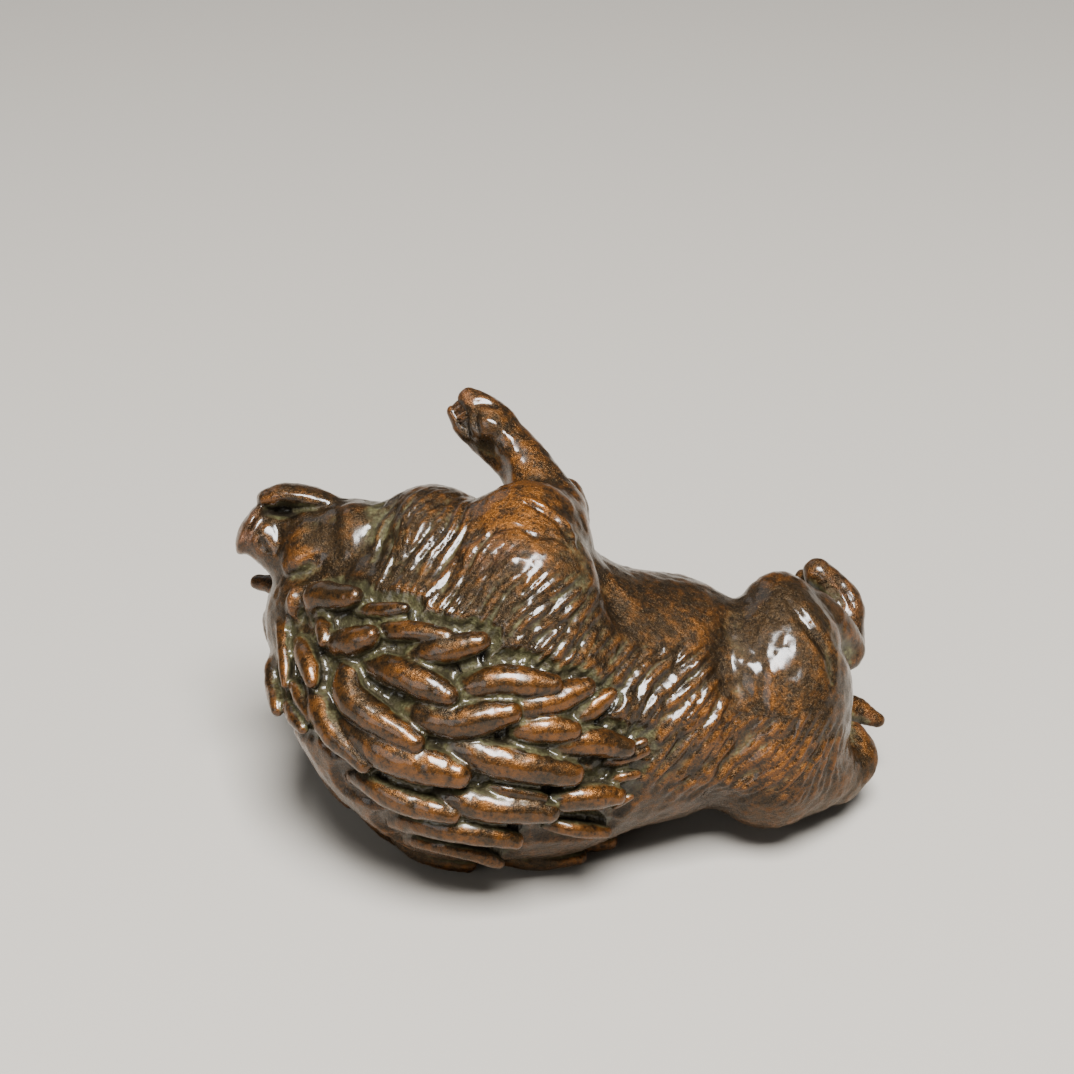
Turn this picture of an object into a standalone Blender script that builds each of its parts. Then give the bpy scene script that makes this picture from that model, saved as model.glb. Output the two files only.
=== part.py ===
# A small cast figure of a wild boar rolling on its back, one solid casting.
import math

import bmesh
import bpy
import numpy as np
from mathutils import Matrix

# Driving sizes, in metres.
FIGURE_LENGTH = 0.080
LOCK_WIDTH = 0.0046
LOCK_RISE = 0.0028
WORN_DEPTH = 0.0006
CARVING_GRAIN = 0.0007

# How far the near flank leans back from upright, in degrees.
LEAN = 30

# The carving's pose and proportions are in parts of its own length, measured along the body
# from head to tail, up the flank from the spine to the belly, and out of the near flank.
PARTS_LONG = 83.2
PART = FIGURE_LENGTH / PARTS_LONG
TRIANGLES = 9400

# The point, in parts, from which the near flank is seen square when its locks are drawn on it.
VIEW_POINT = (-2.75, 17.9, 269)


def in_metres(values):
    return np.array(values, float) * PART


def ellipsoid(centre, radii, turn=0, blend=3.0):
    """A rounded mass. Turn, in degrees, swings it within the plane of the flank."""
    spin = Matrix.Rotation(math.radians(turn), 3, "Z")
    return {"kind": "ellipsoid", "centre": in_metres(centre), "radii": in_metres(radii),
            "spin": np.array(spin), "blend": blend * PART}


def limb(points, radii, wide=1.0, blend=2.0):
    """A rounded bar along a smooth path with its radii, stretched by wide out of the flank."""
    path, radii = smooth_path(points, radii)
    return {"kind": "limb", "path": in_metres(path), "radii": in_metres(radii), "wide": wide,
            "blend": blend * PART}


def crease(points, width, depth):
    """A groove along a smooth path that fades at its ends, or a ridge where the depth is below nought."""
    path = smooth_path(points, [0] * len(points))[0]
    ends = -1.2 * width * np.abs(np.linspace(-1, 1, len(path))) ** 3
    return {"kind": "crease", "path": in_metres(path), "radii": in_metres(ends), "wide": 1.0,
            "width": width * PART, "depth": depth * PART, "blend": 2 * width * PART}


def smooth_path(points, radii, steps=5):
    """A curve through the points, and the radius along it."""
    rows = np.column_stack([np.array(points, float), np.array(radii, float)])
    rows = np.vstack([2 * rows[0] - rows[1], rows, 2 * rows[-1] - rows[-2]])
    found = []
    for before, start, end, after in zip(rows, rows[1:], rows[2:], rows[3:]):
        for t in np.arange(steps) / steps:
            found.append(0.5 * (2 * start + (end - before) * t
                                + (2 * before - 5 * start + 4 * end - after) * t ** 2
                                + (3 * start - before - 3 * end + after) * t ** 3))
    found = np.array(found + [rows[-2]])
    return found[:, :3], found[:, 3]


def trunk():
    return [
        # The ball of the neck and mane, its withers and the far shoulder that it rests on.
        ellipsoid((-10.5, -0.5, 3), (23.8, 21.5, 18), blend=1),
        ellipsoid((-1, -6, 2), (15, 15.2, 14)),
        ellipsoid((-8, -4, -7.3), (12, 12.8, 10.7)),
        # The barrel and the rump.
        ellipsoid((12.9, -2, -2), (13.5, 15.4, 14), blend=6),
        ellipsoid((26.4, -5.3, -4), (10.2, 13.7, 12.5)),
        # The throat and the near shoulder.
        ellipsoid((-15.7, 15, 3), (9, 9.4, 11), blend=2.5),
        ellipsoid((-4.2, 11, 12), (9.2, 9.8, 8)),
        # The nape drawn in, the hollow between shoulder and barrel, and the one in front of the haunch.
        crease([(-34.5, -6, 3), (-31.5, -11.5, 3), (-27, -16.5, 3), (-21, -20, 3)], 6, 2.0),
        crease([(3.6, 16.6, 11.4), (5.3, 13.3, 11.3), (6.4, 10.3, 11.9), (7.1, 7.4, 13)], 2.0, 1.1),
        crease([(21.9, 8.7, 4.6), (20.6, 5.4, 8.2), (20.2, 1.9, 9.9), (21.5, -1.8, 9.8)], 2.2, 1.0),
        # The ridge along the loin.
        crease([(13.1, -12.5, 8.3), (17, -11.3, 8.5), (21.4, -12.5, 6.1), (24, -13, 6)], 1.5, -0.7),
    ]


def head():
    return [
        # The skull, the jaw muscle and the cheek.
        ellipsoid((-28.5, 7.6, 0), (8.2, 9, 9.5)),
        ellipsoid((-25.3, 16.2, 1), (7, 6.5, 8), blend=2),
        ellipsoid((-24.6, 17, 6), (3.6, 4.6, 3.5), blend=1),
        ellipsoid((-30.6, 15.6, 4), (3.2, 3.2, 3.6), blend=1),
        ellipsoid((-31, 18.2, 4), (2.4, 1.7, 2.2), turn=20, blend=0.8),
        # The snout and its flat end.
        limb([(-29.5, 14.6, 0.5), (-33, 16.2, 0.5), (-36.8, 18, 0.5)], [5.4, 4.2, 3.1], blend=1.5),
        limb([(-27.5, 19.6, 1.2), (-31.3, 19.8, 1.2), (-34.4, 18.9, 0.9)], [1.8, 1.7, 1.3],
             wide=1.9, blend=0.9),
        ellipsoid((-38.3, 19, 0.5), (1.2, 3.6, 3.5), turn=-27, blend=0.7),
        # The tongue, and the lower jaw above it.
        limb([(-27, 20.9, -0.6), (-32, 21.1, -0.8), (-36.2, 21.6, -0.8)], [1.6, 1.5, 1.1], blend=0.5),
        limb([(-27.2, 21.3, 0.5), (-30.6, 22.6, 0.5), (-34.2, 23.1, 0.5), (-36.5, 22.6, 0.5)],
             [1.4, 1.6, 1.55, 1.2], wide=2.1, blend=0.4),
        # The closed eye, the far ear and the root of the near ear.
        limb([(-33.9, 14.2, 5.8), (-31.2, 15.4, 6.8), (-28.4, 16.2, 7.1)], [0.8, 1.0, 0.6], blend=1.5),
        limb([(-33, 10.5, -7), (-36, 11.5, -9), (-39, 12.1, -10)], [2, 1.5, 1], blend=0.8),
        limb([(-31.2, 10, 8.6), (-28.8, 10.8, 10), (-26.5, 10.2, 11.3)], [2, 1.9, 1.4], blend=0.8),
        # The folds beneath the eye, behind the cheek and behind the jaw.
        crease([(-33.2, 12.8, 6.2), (-30.6, 13.4, 7.4), (-27.8, 14.8, 8.5)], 1.3, 0.5),
        crease([(-27.4, 20.9, 6), (-27.8, 18.1, 8.2), (-27, 15.1, 8.9)], 1.2, 0.6),
        crease([(-19.8, 22.8, 6.6), (-20.9, 19.3, 10.4), (-22.2, 14.5, 12.4)], 1.5, 0.9),
    ]


def forelegs():
    return [
        # The near upper arm, the raised forearm, the two toes and the pad of the paw.
        limb([(-9, 17, 9), (-4, 19.2, 9.5), (-0.8, 18.2, 7.5)], [5.2, 5.5, 4.6], blend=2.5),
        limb([(-0.6, 21, 4), (-3, 24.6, 2), (-5.3, 27.8, 0.5), (-8.6, 31.3, -1)], [4, 3.6, 3.4, 3.3]),
        limb([(-8.3, 31.8, -0.5), (-11.3, 34.6, -0.5)], [3, 2.2], blend=0.8),
        limb([(-10.6, 29.8, -1.4), (-12.2, 31.8, -1.2), (-13.2, 33.4, -1.2)], [1.6, 1.4, 0.95], blend=0.3),
        ellipsoid((-8.6, 31.6, 1.3), (2.2, 2.7, 1.6), turn=25, blend=0.7),
        # The far arm and its folded forearm.
        limb([(-4, 12, -8), (0, 20, -8), (0.8, 23.2, -7)], [7, 4, 2.4]),
        limb([(0.6, 22.6, -9), (-5, 21, -13), (-11, 20.5, -13)], [2.4, 2.4, 2], blend=0.8),
        # The folds of skin over the near elbow, and the hollow of the wrist.
        crease([(-4.5, 22.6, 13.8), (-1.8, 20.8, 14.7), (0, 18.9, 15.3), (2, 14.4, 17.2)], 0.8, 1.0),
        crease([(-10.6, 16, 16.5), (-8.3, 17.8, 16.6), (-5.7, 18.6, 17), (-0.5, 16.9, 17.5)], 0.8, 0.6),
        crease([(-11.2, 30.1, -0.5), (-9.1, 28.3, 1), (-7.3, 26, 2)], 1.4, 0.8),
    ]


def hind_legs():
    return [
        # The near thigh, knee, shank and folded foot.
        ellipsoid((28.2, 1, 1), (7.4, 10.8, 7.6), blend=4.5),
        limb([(26.8, 4.5, 0), (27.6, 9.3, -1)], [5.4, 4.3]),
        limb([(28.5, 9, -1.5), (33, 6.9, -3), (36.2, 3.6, -6)], [3.8, 3.6, 3], blend=0.8),
        limb([(37, 4.2, -8.5), (36.9, 9.5, -9.5), (33.6, 13.2, -9.5)], [2.5, 2.4, 1.9], blend=0.5),
        # The tail, and the far hoof beside it.
        limb([(36.4, -13.2, -8), (38.8, -10.8, -9), (38.2, -8, -10)], [2.6, 2.5, 1.9], blend=1),
        limb([(35, -6, -13), (38.6, -4.8, -14), (42, -6.2, -14)], [2.4, 1.9, 1], blend=0.8),
        # The far thigh, the far buttock that it rests on, and the root of the tail.
        ellipsoid((28, 0, -12), (8.5, 11, 6)),
        ellipsoid((26.5, -8, -10), (9.5, 10, 8.2)),
        ellipsoid((32.5, -12, -6), (5.5, 4.5, 6)),
        # The fold between thigh and shank.
        crease([(27.9, 10.8, 5), (31.5, 6.3, 7), (32.9, 2.9, 7.1), (33.4, -0.7, 7)], 1.0, 1.0),
    ]


# The two lobes of the near ear, and the near locks of the mane, which lie back from the face. Each is
# drawn by its root, middle and tip, along and up the figure, and has its share of the lock width.
EAR_LOBES = [
    ((-31, 7.9), (-30.6, 10.8), (-26.2, 11), 0.65), ((-30.3, 8.4), (-30.1, 6.8), (-29.9, 5), 0.42),
]
NEAR_LOCKS = [
    # Behind the ear.
    ((-29.6, 4.9), (-26.8, 5.2), (-24.1, 5.9), 0.65), ((-25.8, 9.1), (-22.4, 9.1), (-19.5, 9.2), 0.38),
    ((-23.4, 6.5), (-19.2, 6.5), (-14, 5.8), 0.46), ((-18.9, 3.1), (-14.9, 4.1), (-9.9, 4.9), 0.65),
    # The long curved ones below them.
    ((-24.1, 2.2), (-19.2, 0.4), (-14, -2), 0.73), ((-27, 2), (-26.8, -2.8), (-18.4, -8.2), 0.75),
    ((-28.9, -4.5), (-21.8, -10), (-12.8, -12.6), 0.96),
    ((-26.1, -12.5), (-20.5, -15.9), (-13.6, -17.6), 0.62),
    # Over the shoulder.
    ((-13.4, -1.6), (-7.4, -0.1), (-0.4, -0.6), 0.71), ((-20.1, -4), (-13, -5.6), (-5.9, -4.2), 0.79),
    ((-7.4, -3.9), (-1.1, -2.9), (3.9, -0.9), 0.67), ((-5.4, -6.8), (-1.8, -6.5), (2, -6.5), 0.67),
    ((1.6, -5.4), (4.6, -3.8), (6.9, -1.8), 0.46), ((-1.5, -9.2), (4.1, -8.1), (9, -8.8), 0.65),
    ((8.6, -8.8), (9.9, -8.4), (10.9, -7.8), 0.23), ((6.1, -10.4), (8.9, -9.9), (11.1, -9), 0.31),
    ((6.4, -12.9), (8.2, -12.4), (10, -12), 0.27), ((7.2, -16), (8.2, -15.4), (9.2, -14.8), 0.23),
    # Along the side of the back.
    ((-14.9, -8.1), (-6.8, -11), (2.2, -12.4), 0.79), ((-16.4, -14.9), (-8.6, -17), (-1, -17.4), 0.73),
    ((-9, -13.6), (-5.5, -14.4), (-1.8, -15), 0.31), ((-2, -15.9), (3.2, -15.6), (7.8, -15.1), 0.62),
    ((-1.4, -18.5), (2.4, -19.4), (6.2, -19.6), 0.38),
    ((-20.9, -18.4), (-13.4, -19.9), (-5.4, -21), 0.62),
    ((-19.2, -20.6), (-13, -22), (-7.4, -23.6), 0.4),
    # On the brow and the nape.
    ((-33.2, 5), (-32.6, 2.8), (-31.6, -0.1), 0.5), ((-31.6, -0.5), (-30.2, -5.9), (-24.9, -11), 0.58),
    ((-34, 0), (-33.1, -2.2), (-31.6, -4.8), 0.33), ((-34.8, -2.8), (-34.1, -4.6), (-32.6, -6.2), 0.38),
    ((-36.1, 3.1), (-36.9, 0), (-36, -4), 0.44), ((-35.4, 7.2), (-35.1, 3.1), (-34.8, -0.5), 0.31),
]

# The locks along the spine, beneath: the angles of root and of tip, first back from the face and then
# round from the throat, and the share of the lock width.
SPINE_LOCKS = [
    (24, 214, 46, 204, 0.6), (40, 204, 74, 197, 0.8), (70, 202, 102, 196, 0.75), (98, 202, 128, 196, 0.65),
    (58, 187, 88, 187, 0.6), (92, 187, 120, 187, 0.6),
]
LOCK_STEPS = np.linspace(0, 1, 11)
MANE_CENTRE = (-10.5, -0.5, 3)
SPINE_ANGLE = 185
FAR_MANE_ANGLE = 135

# How much lower, in parts, the body is cut between locks, from behind the brow on and from this
# height on above the middle of the carving, so that its underside keeps its bearing.
GROUND_CUT = 0.8
BROW = -33
UNDERSIDE = -16


def unit(rows):
    return rows / np.maximum(np.linalg.norm(rows, axis=1)[:, None], 1e-9)


def drawn_on(body, courses, rises):
    """Lays courses drawn on the near flank over the body, each at its own height."""
    paths = [smooth_path([(*point, 0) for point in course], [0, 0, 0])[0] for course in courses]
    height = np.concatenate(rises)
    eye = in_metres(VIEW_POINT)
    sight = unit(in_metres(np.vstack(paths)) - eye)
    spot = eye + sight * ((26 * PART - eye[2]) / sight[:, 2:])
    best, least = spot.copy(), np.full(len(spot), np.inf)
    for _ in range(90):
        here = field(body, spot) - height
        closer = np.abs(here) < least
        best[closer], least[closer] = spot[closer], np.abs(here)[closer]
        spot = spot + sight * np.clip(0.8 * here, -0.5 * PART, 0.9 * PART)[:, None]
    for _ in range(4):
        here = field(body, best)
        best = best - unit(slope(best, here, lambda spots: field(body, spots))) * (here - height)[:, None]
    return np.split(best, len(courses))


def around_mane(body, back, around, rise):
    """Lays a course over the body from its angles about the mane's centre."""
    outward = np.column_stack([-np.cos(back), np.sin(back) * np.cos(around), np.sin(back) * np.sin(around)])
    centre, reach = in_metres(MANE_CENTRE), np.full(len(back), 50 * PART)
    for _ in range(60):
        reach -= 0.8 * (field(body, centre + outward * reach[:, None]) - rise)
    return centre + outward * reach[:, None]


def lock(body, top, width):
    """One lock of the mane beneath the course of its top, from a sunk root to a raised round tip."""
    radii = 0.55 * width * LOCK_WIDTH * (1 - 0.4 * np.abs(2 * LOCK_STEPS ** 0.85 - 1) ** 2.4)
    normal = unit(slope(top, field(body, top), lambda spots: field(body, spots)))
    return {"kind": "limb", "path": top - normal * radii[:, None], "radii": radii, "wide": 1.0,
            "blend": 0.3 * PART}


def rise_of(width):
    """How high a lock stands over the body along its course."""
    tip = min(LOCK_RISE * (0.35 + 0.65 * width), 0.85 * width * LOCK_WIDTH)
    return tip * (1.05 - 1.1 * (1 - LOCK_STEPS) ** 3)


def mane(body):
    """The near ear and locks, the locks' like on the far side, and the ones along the spine."""
    drawn = EAR_LOBES + NEAR_LOCKS
    widths = [width for _, _, _, width in drawn]
    tops = drawn_on(body, [course[:3] for course in drawn], [rise_of(width) for width in widths])
    locks = [lock(body, top, width) for top, width in zip(tops, widths)]
    spine = math.radians(SPINE_ANGLE)
    turned = []
    for top, (_, _, _, width) in zip(tops[len(EAR_LOBES):], NEAR_LOCKS):
        reach = unit(top - in_metres(MANE_CENTRE))
        back = np.arccos(-reach[:, 0])
        if back[-1] < math.radians(FAR_MANE_ANGLE):
            turned.append((back, 2 * spine - np.arctan2(reach[:, 2], reach[:, 1]) % (2 * math.pi), width))
    for root, root_turn, tip, tip_turn, width in SPINE_LOCKS:
        back = np.radians(root + (tip - root) * LOCK_STEPS)
        around = np.radians(root_turn + (tip_turn - root_turn) * LOCK_STEPS)
        turned.append((back, around, width))
    for back, around, width in turned:
        locks.append(lock(body, around_mane(body, back, around, rise_of(width)), width))
    return locks


def distance(mass, points):
    """How far each point is outside one mass, below nought inside it."""
    if mass["kind"] == "ellipsoid":
        local = (points - mass["centre"]) @ mass["spin"]
        near = np.linalg.norm(local / mass["radii"], axis=1)
        steepness = np.linalg.norm(local / mass["radii"] ** 2, axis=1)
        return near * (near - 1) / np.maximum(steepness, 1e-9)
    squash = np.array([1, 1, 1 / mass["wide"]])
    path = mass["path"] * squash
    local = points * squash
    best = np.full(len(points), np.inf)
    for start, end, radius, next_radius in zip(path, path[1:], mass["radii"], mass["radii"][1:]):
        along = end - start
        share = np.clip((local - start) @ along / (along @ along), 0, 1)
        gap = np.linalg.norm(local - start - share[:, None] * along, axis=1)
        best = np.minimum(best, gap - radius - share * (next_radius - radius))
    return best


def box_of(mass):
    """The corners of the space that a mass can change, with room for its blend."""
    if mass["kind"] == "ellipsoid":
        half = mass["radii"].max()
        low, high = mass["centre"] - half, mass["centre"] + half
    else:
        half = mass["radii"].max() * np.array([1, 1, mass["wide"]])
        low, high = mass["path"].min(axis=0) - half, mass["path"].max(axis=0) + half
    room = mass["blend"] + 2.5 * PART
    return low - room, high + room


def field(masses, points):
    """How far each point is outside the whole carving, with each mass blended into those before it."""
    total = np.full(len(points), 20 * PART)
    for mass in masses:
        low, high = box_of(mass)
        near = np.all((points > low) & (points < high), axis=1)
        if not near.any():
            continue
        new, old = distance(mass, points[near]), total[near]
        if mass["kind"] == "crease":
            total[near] = old + mass["depth"] * np.exp(-(new / mass["width"]) ** 2)
            continue
        mix = np.clip(0.5 + 0.5 * (old - new) / mass["blend"], 0, 1)
        total[near] = old + (new - old) * mix - mass["blend"] * mix * (1 - mix)
    return total


def carving(body, locks, points):
    """How far each point is outside the figure, whose body is cut lower where a lock is near."""
    lock_gap = field(locks, points)
    lean = math.radians(LEAN)
    height = points @ (0, math.cos(lean), math.sin(lean)) / PART
    near = np.clip((2.4 * PART - lock_gap) / (1.6 * PART), 0, 1) * (points[:, 0] > BROW * PART)
    near = near * np.clip((height - UNDERSIDE) / 3, 0, 1)
    body_gap = field(body, points) + GROUND_CUT * PART * near * near * (3 - 2 * near)
    blend = 0.35 * PART
    mix = np.clip(0.5 + 0.5 * (body_gap - lock_gap) / blend, 0, 1)
    return body_gap + (lock_gap - body_gap) * mix - blend * mix * (1 - mix)


def slope(points, here, surface):
    """A surface's rate of change at points where its value is here."""
    step = 0.03 * PART
    return np.column_stack([(surface(points + shift) - here) / step for shift in np.eye(3) * step])


def seed_mesh(name, masses):
    """A plain ball for each rounded mass and a string of balls along each bar, all overlapping."""
    shape = bmesh.new()
    for mass in masses:
        if mass["kind"] == "ellipsoid":
            place = Matrix.Translation(mass["centre"]) @ Matrix(mass["spin"]).to_4x4()
            place = place @ Matrix.Diagonal((*mass["radii"], 1))
            bmesh.ops.create_icosphere(shape, subdivisions=4, radius=1, matrix=place)
        elif mass["kind"] == "limb":
            for point, radius in zip(mass["path"], mass["radii"]):
                place = Matrix.Translation(point)
                place = place @ Matrix.Diagonal((radius, radius, radius * mass["wide"], 1))
                bmesh.ops.create_icosphere(shape, subdivisions=2, radius=1, matrix=place)
    mesh = bpy.data.meshes.new(name)
    shape.to_mesh(mesh)
    shape.free()
    item = bpy.data.objects.new(name, mesh)
    bpy.context.scene.collection.objects.link(item)
    return item


def apply_modifier(item, kind, **settings):
    modifier = item.modifiers.new(kind.title(), kind)
    for name, value in settings.items():
        setattr(modifier, name, value)
    graph = bpy.context.evaluated_depsgraph_get()
    mesh = bpy.data.meshes.new_from_object(item.evaluated_get(graph))
    item.modifiers.clear()
    item.data = mesh


def settle(item, body, locks, rounds=6):
    """Moves the surface on to the blended carving and evens out its points."""
    mesh = item.data
    points = np.empty(len(mesh.vertices) * 3)
    mesh.vertices.foreach_get("co", points)
    points = points.reshape(-1, 3)
    edges = np.empty(len(mesh.edges) * 2, np.int64)
    mesh.edges.foreach_get("vertices", edges)
    edges = edges.reshape(-1, 2)
    neighbours = np.bincount(edges.ravel(), minlength=len(points))[:, None]
    furthest = 0.6 * PART
    for turn in range(rounds):
        here = carving(body, locks, points)
        uphill = slope(points, here, lambda spots: carving(body, locks, spots))
        steepness = np.linalg.norm(uphill, axis=1)[:, None]
        step = np.clip(here[:, None] / np.maximum(steepness, 0.7), -furthest, furthest)
        points = points - uphill / np.maximum(steepness, 0.05) * step
        if turn < rounds - 1:
            mean = np.zeros_like(points)
            np.add.at(mean, edges[:, 0], points[edges[:, 1]])
            np.add.at(mean, edges[:, 1], points[edges[:, 0]])
            points = points + 0.6 * (mean / neighbours - points)
    mesh.vertices.foreach_set("co", points.ravel())
    mesh.update()


def keep_outer_shell(item):
    """Removes the closed gaps left between locks."""
    shape = bmesh.new()
    shape.from_mesh(item.data)
    left, shells = set(shape.verts), []
    while left:
        shell, front = set(), [left.pop()]
        while front:
            point = front.pop()
            shell.add(point)
            fresh = {edge.other_vert(point) for edge in point.link_edges} & left
            left -= fresh
            front.extend(fresh)
        shells.append(shell)
    shells.sort(key=len)
    bmesh.ops.delete(shape, geom=[point for shell in shells[:-1] for point in shell], context="VERTS")
    shape.to_mesh(item.data)
    shape.free()


def stand(item):
    """Leans the carving back, sets it on the floor and wears its underside flat where it touches."""
    lean = math.radians(LEAN)
    turn = Matrix(((1, 0, 0), (0, math.sin(lean), -math.cos(lean)), (0, math.cos(lean), math.sin(lean))))
    shape = bmesh.new()
    shape.from_mesh(item.data)
    bmesh.ops.transform(shape, matrix=turn.to_4x4(), verts=shape.verts)
    places = np.array([point.co for point in shape.verts])
    low, high = places.min(axis=0), places.max(axis=0)
    middle = (low + high) / 2
    bmesh.ops.translate(shape, vec=(-middle[0], -middle[1], -low[2] - WORN_DEPTH), verts=shape.verts)
    cut = bmesh.ops.bisect_plane(shape, geom=shape.verts[:] + shape.edges[:] + shape.faces[:], dist=1e-7,
                                 plane_co=(0, 0, 0), plane_no=(0, 0, 1), clear_inner=True)
    rim = [edge for edge in cut["geom_cut"] if isinstance(edge, bmesh.types.BMEdge)]
    bmesh.ops.holes_fill(shape, edges=rim, sides=0)
    bmesh.ops.triangulate(shape, faces=shape.faces)
    bmesh.ops.recalc_face_normals(shape, faces=shape.faces)
    shape.to_mesh(item.data)
    shape.free()


def old_bronze():
    """Brown bronze with a soft waxed gloss."""
    material = bpy.data.materials.new("brown_bronze")
    material.use_nodes = True
    shader = material.node_tree.nodes["Principled BSDF"]
    shader.inputs["Base Color"].default_value = (0.115, 0.042, 0.018, 1)
    shader.inputs["Metallic"].default_value = 0.75
    shader.inputs["Roughness"].default_value = 0.36
    return material


def main():
    for item in list(bpy.data.objects):
        bpy.data.objects.remove(item, do_unlink=True)
    body = trunk() + head() + forelegs() + hind_legs()
    locks = mane(body)
    boar = seed_mesh("boar", body + locks)
    for _ in range(2):
        apply_modifier(boar, "REMESH", mode="VOXEL", voxel_size=CARVING_GRAIN, adaptivity=0)
        settle(boar, body, locks)
    keep_outer_shell(boar)
    apply_modifier(boar, "DECIMATE", ratio=TRIANGLES / (2 * len(boar.data.polygons)))
    stand(boar)
    boar.data.materials.append(old_bronze())


main()
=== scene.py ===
# A small bronze boar rolling on its back, dressed with chased fur and an old waxed patina.
import itertools
import math
import time

import bmesh
import bpy
import numpy as np
from mathutils import Matrix, Vector
from mathutils.bvhtree import BVHTree


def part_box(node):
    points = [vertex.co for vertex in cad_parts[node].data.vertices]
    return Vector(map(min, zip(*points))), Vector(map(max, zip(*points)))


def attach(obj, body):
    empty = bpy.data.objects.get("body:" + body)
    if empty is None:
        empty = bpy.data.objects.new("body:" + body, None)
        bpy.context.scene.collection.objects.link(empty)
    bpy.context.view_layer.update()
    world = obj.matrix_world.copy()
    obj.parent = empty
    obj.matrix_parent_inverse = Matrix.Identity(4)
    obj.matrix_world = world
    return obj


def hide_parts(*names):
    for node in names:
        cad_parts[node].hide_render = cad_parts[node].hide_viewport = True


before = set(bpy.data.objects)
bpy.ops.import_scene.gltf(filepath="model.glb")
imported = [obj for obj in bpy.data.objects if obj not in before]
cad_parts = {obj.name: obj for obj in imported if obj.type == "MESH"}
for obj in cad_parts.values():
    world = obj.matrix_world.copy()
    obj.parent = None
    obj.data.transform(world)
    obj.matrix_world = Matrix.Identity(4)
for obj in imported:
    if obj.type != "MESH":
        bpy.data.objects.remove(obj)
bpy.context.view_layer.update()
boarLow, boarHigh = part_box("boar")
startTime = time.time()


def report(stage):
    print(f"{stage}: {time.time() - startTime:.1f} s")


# The carving is laid out in parts of the figure's length: along the body from head to tail, up the
# flank from spine to belly, and out of the near flank. It leans back once it is finished.
carving = {
    "partsLong": 83.2,
    "lean": 30,
    "roughGrain": 0.62,     # voxel of the first remesh, in parts
    "fineGrain": 0.25,      # voxel of the last one
    "triangles": 196000,
    "wornDepth": 0.62,      # how far the underside is worn flat
    "eye": (-2.75, 17.9, 269),      # where the near flank is seen from, square to it
}
part = (boarHigh.x - boarLow.x) / carving["partsLong"]
lean = math.radians(carving["lean"])


# Masses, folds and locks

def ball(centre, radii, turn=0, blend=3.0):
    spin = Matrix.Rotation(math.radians(turn), 3, "Z")
    return {"kind": "ball", "centre": np.array(centre, float), "radii": np.array(radii, float),
            "spin": np.array(spin), "blend": blend}


def bar(points, radii, wide=1.0, blend=2.0):
    path, radii = smoothPath(points, radii)
    return {"kind": "bar", "path": path, "radii": radii, "wide": wide, "blend": blend}


def fold(points, width, depth):
    return foldAlong(smoothPath(points, [0] * len(points))[0], width, depth)


def foldAlong(path, width, depth):
    # a fold fades out towards both its ends
    ends = -1.2 * width * np.abs(np.linspace(-1, 1, len(path))) ** 3
    return {"kind": "fold", "path": path, "radii": ends, "wide": 1.0, "width": width, "depth": depth,
            "blend": 2 * width}


def smoothPath(points, radii, steps=5):
    rows = np.column_stack([np.array(points, float), np.array(radii, float)])
    rows = np.vstack([2 * rows[0] - rows[1], rows, 2 * rows[-1] - rows[-2]])
    found = []
    for before, start, end, after in zip(rows, rows[1:], rows[2:], rows[3:]):
        for t in np.arange(steps) / steps:
            found.append(0.5 * (2 * start + (end - before) * t
                                + (2 * before - 5 * start + 4 * end - after) * t ** 2
                                + (3 * start - before - 3 * end + after) * t ** 3))
    found = np.array(found + [rows[-2]])
    return found[:, :3], found[:, 3]


trunk = [
    # the ball of the neck and mane, its withers and the far shoulder
    ball((-10.5, -0.5, 3), (23.8, 21.5, 18), blend=1),
    ball((-1, -6, 2), (15, 15.2, 14)),
    ball((-8, -4, -7.3), (12, 12.8, 10.7)),
    # the barrel and the rump
    ball((12.9, -2, -2), (13.5, 15.4, 14), blend=6),
    ball((26.4, -5.3, -4), (10.2, 13.7, 12.5)),
    # the throat and the near shoulder
    ball((-15.7, 15, 3), (9, 9.4, 11), blend=2.5),
    ball((-4.2, 11, 12), (9.2, 9.8, 8)),
    # the nape drawn in, the hollow between shoulder and barrel, and the one in front of the haunch
    fold([(-34.5, -6, 3), (-31.5, -11.5, 3), (-27, -16.5, 3), (-21, -20, 3)], 6, 2.0),
    fold([(3.6, 16.6, 11.4), (5.3, 13.3, 11.3), (6.4, 10.3, 11.9), (7.1, 7.4, 13)], 1.9, 1.5),
    fold([(21.9, 8.7, 4.6), (20.6, 5.4, 8.2), (20.2, 1.9, 9.9), (21.5, -1.8, 9.8)], 2.2, 1.0),
    # the ridge along the loin
    fold([(13.1, -12.5, 8.3), (17, -11.3, 8.5), (21.4, -12.5, 6.1), (24, -13, 6)], 1.5, -0.7),
]
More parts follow.
